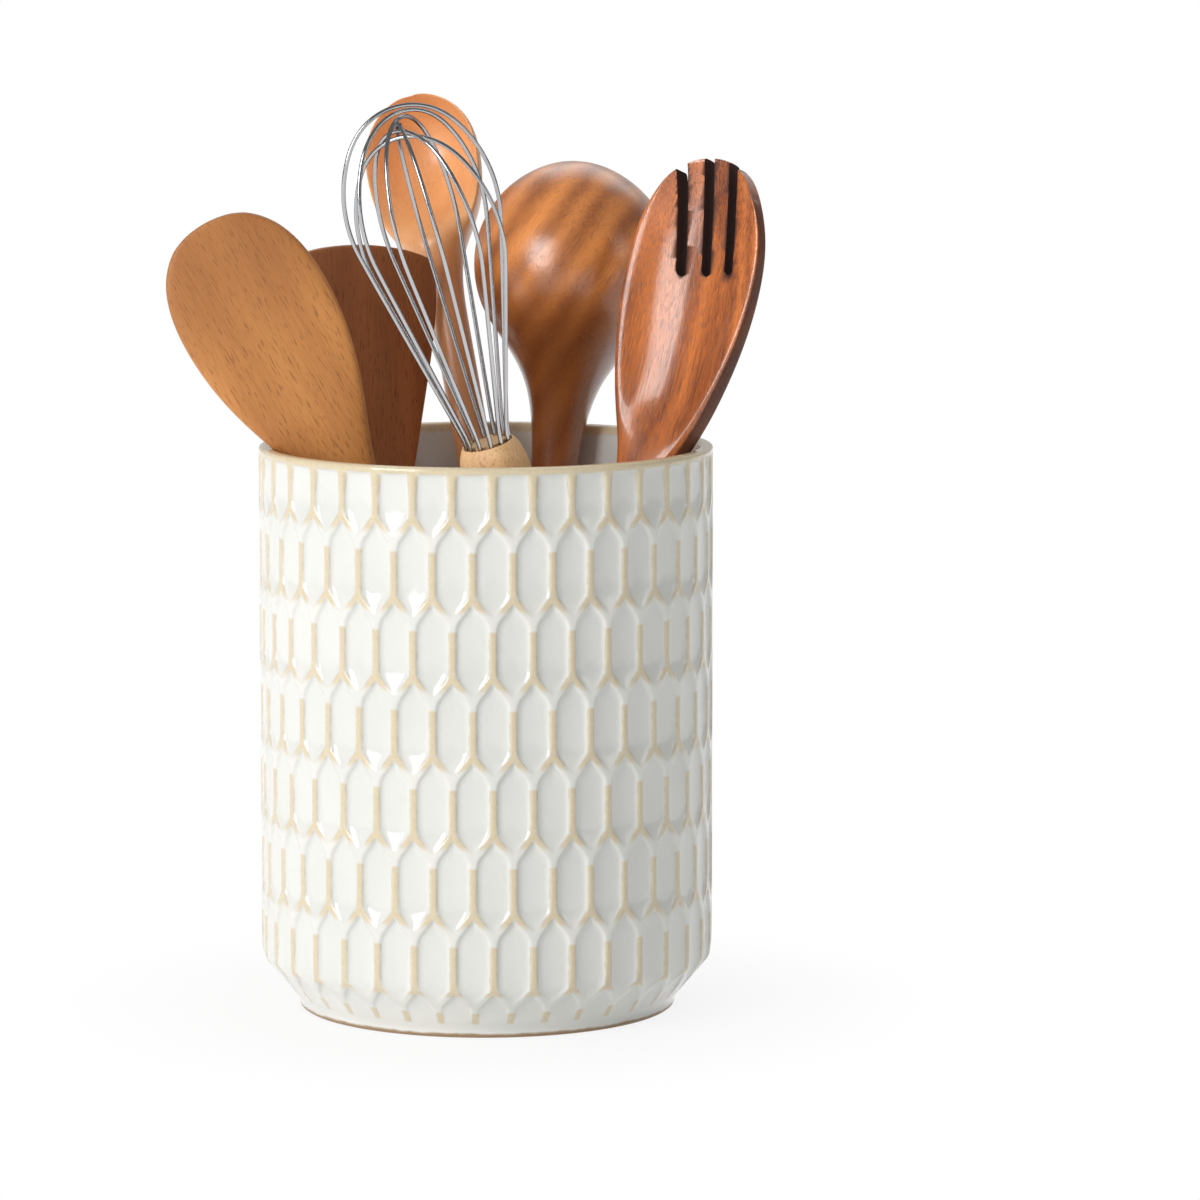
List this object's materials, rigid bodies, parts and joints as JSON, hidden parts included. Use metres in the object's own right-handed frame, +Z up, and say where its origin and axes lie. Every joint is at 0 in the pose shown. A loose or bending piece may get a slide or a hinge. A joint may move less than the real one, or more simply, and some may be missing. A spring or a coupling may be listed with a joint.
{
  "type": "utensil crock",
  "caption": "Tall white glazed stoneware crock with a honeycomb relief, holding wooden spoons, a turner, a ladle, a serving fork and a balloon whisk that lift out.",
  "frame": {"origin": "the middle of the crock's flat foot, on the surface that it stands on", "axes": "+Z up along the crock's axis, -Y towards the viewer, +X to the right"},
  "size_m": [0.1946, 0.2108, 0.2971],
  "materials": {
    "glaze": "glossy white glaze that breaks to tan on the ridges and the rim",
    "pale_beech": "plain sanded beech with short dark flecks",
    "brown_beech": "plain sanded beech, a little darker",
    "cherry": "oiled cherry-coloured wood with a soft gloss",
    "handle_beech": "smooth turned beech",
    "plug": "end grain of the turned plug",
    "wire": "bright drawn stainless wire",
    "banded_acacia": "oiled acacia with light and dark bands",
    "red_acacia": "oiled red-brown acacia with a soft gloss"
  },
  "bodies": {
    "crock": {"crock": "glaze"},
    "paddle_spoon": {"paddle_spoon": "pale_beech"},
    "turner": {"turner": "brown_beech"},
    "deep_spoon": {"deep_spoon": "cherry"},
    "whisk": {"whisk_handle": "handle_beech", "whisk_plug": "plug", "whisk_wire_1": "wire", "whisk_wire_2": "wire", "whisk_wire_3": "wire", "whisk_wire_4": "wire", "whisk_wire_5": "wire", "whisk_wire_6": "wire"},
    "ladle": {"ladle": "banded_acacia"},
    "fork": {"fork": "red_acacia"}
  },
  "joints": [
    {"name": "paddle_spoon_lift", "type": "slide", "parent": "crock", "child": "paddle_spoon", "axis": [-0.4898, -0.0359, 0.8711], "range_m": [0, 0.205]},
    {"name": "turner_lift", "type": "slide", "parent": "crock", "child": "turner", "axis": [0.0015, 0.0956, 0.9954], "range_m": [0, 0.18]},
    {"name": "deep_spoon_lift", "type": "slide", "parent": "crock", "child": "deep_spoon", "axis": [-0.167, 0.3529, 0.9207], "range_m": [0, 0.194]},
    {"name": "whisk_lift", "type": "slide", "parent": "crock", "child": "whisk", "axis": [-0.2563, -0.1681, 0.9519], "range_m": [0, 0.188]},
    {"name": "ladle_lift", "type": "slide", "parent": "crock", "child": "ladle", "axis": [0.0975, 0.0466, 0.9941], "range_m": [0, 0.18]},
    {"name": "fork_lift", "type": "slide", "parent": "crock", "child": "fork", "axis": [0.3242, 0.1264, 0.9375], "range_m": [0, 0.191]}
  ]
}
